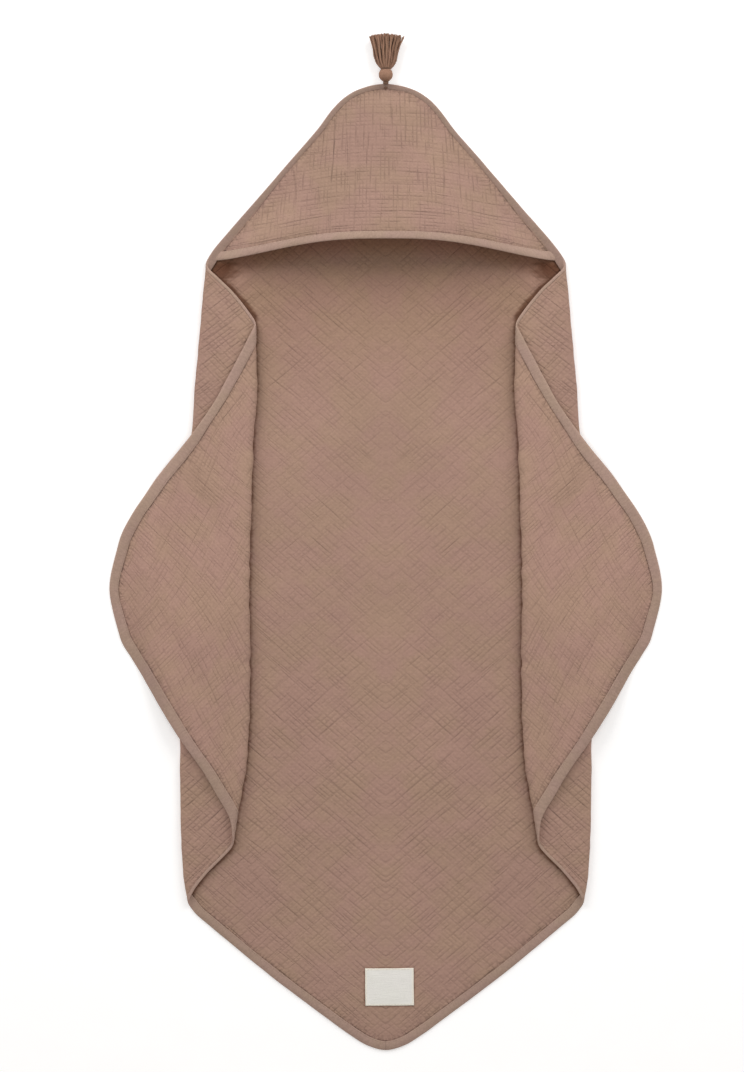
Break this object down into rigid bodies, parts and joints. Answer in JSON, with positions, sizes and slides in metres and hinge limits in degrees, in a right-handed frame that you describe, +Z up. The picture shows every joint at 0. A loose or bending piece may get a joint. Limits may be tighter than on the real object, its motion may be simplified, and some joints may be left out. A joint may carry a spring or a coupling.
{
  "type": "hooded baby bath towel",
  "caption": "Square crinkled muslin baby towel laid out corner up, its sides folded in and out again, with a corner hood that bows open, bound edges, a tassel and a blank sewn label.",
  "frame": {"origin": "on the surface that the towel lies on, under the middle of its box, so midway between the tassel's ends and the lower tip on the towel's middle line", "axes": "+X across the towel to the viewer's right in the picture, +Y along it towards the hood's tip and the tassel, +Z up from the surface"},
  "size_m": [0.5688, 1.0487, 0.043],
  "materials": {
    "muslin": "crinkled multi-layer cotton muslin, matt, laid on the bias",
    "hood_muslin": "crinkled multi-layer cotton muslin, matt, on the straight grain",
    "binding": "plain-woven cotton bias tape, matt, with a row of stitches",
    "label_cotton": "blank off-white woven cotton label",
    "tassel_yarn": "twisted cotton yarn, matt"
  },
  "bodies": {
    "root": {"towel_panel": "muslin", "hood_panel": "hood_muslin", "edge_binding": "binding", "hood_binding": "binding", "label": "label_cotton", "tassel": "tassel_yarn"}
  },
  "joints": []
}
